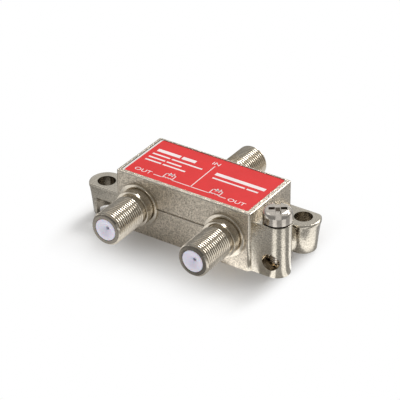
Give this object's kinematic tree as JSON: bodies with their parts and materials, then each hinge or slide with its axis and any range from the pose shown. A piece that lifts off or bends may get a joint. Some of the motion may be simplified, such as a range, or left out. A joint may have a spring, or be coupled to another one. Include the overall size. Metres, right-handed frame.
{
  "type": "coaxial splitter",
  "caption": "Die-cast two-way coaxial splitter with threaded ports, two mounting ears and an earth block with a clamping screw.",
  "frame": {"origin": "centre of the box on its mounting face, the plane that lies on the wall", "axes": "+X along the box towards the earth block, +Y towards the input port, +Z from the wall out through the label"},
  "size_m": [0.0656, 0.053, 0.0197],
  "materials": {
    "nickel_casting": "grainy satin nickel plate over die-cast zinc",
    "red_label": "satin printed film",
    "tinned_steel": "tinned sheet steel",
    "solder": "bright solder",
    "plated_screw": "nickel plated steel",
    "white_plastic": "smooth white plastic",
    "spring_bronze": "plain bronze",
    "board": "bare laminate",
    "ferrite": "sintered, dull",
    "copper_wire": "enamelled copper",
    "diode_glass": "clear orange glass",
    "ceramic": "sintered ceramic chip",
    "resistor_body": "ceramic chip"
  },
  "bodies": {
    "splitter": {"housing": "nickel_casting", "label": "red_label", "back_cover": "tinned_steel", "cover_solder": "solder", "circuit_board": "board", "insulator_in": "white_plastic", "insulator_out_1": "white_plastic", "insulator_out_2": "white_plastic", "contact_in": "spring_bronze", "contact_out_1": "spring_bronze", "contact_out_2": "spring_bronze", "splitter_core": "ferrite", "matching_core": "ferrite", "choke_core_1": "ferrite", "choke_core_2": "ferrite", "splitter_winding": "copper_wire", "matching_winding": "copper_wire", "choke_winding_1": "copper_wire", "choke_winding_2": "copper_wire", "steering_diode_1": "diode_glass", "steering_diode_2": "diode_glass", "capacitor_in": "ceramic", "capacitor_out_1": "ceramic", "capacitor_out_2": "ceramic", "isolation_resistor": "resistor_body"},
    "screw": {"ground_screw": "plated_screw"}
  },
  "joints": [
    {"name": "ground_screw_travel", "type": "slide", "parent": "splitter", "child": "screw", "axis": [0, 0, 1], "range_m": [0, 0.006]}
  ]
}
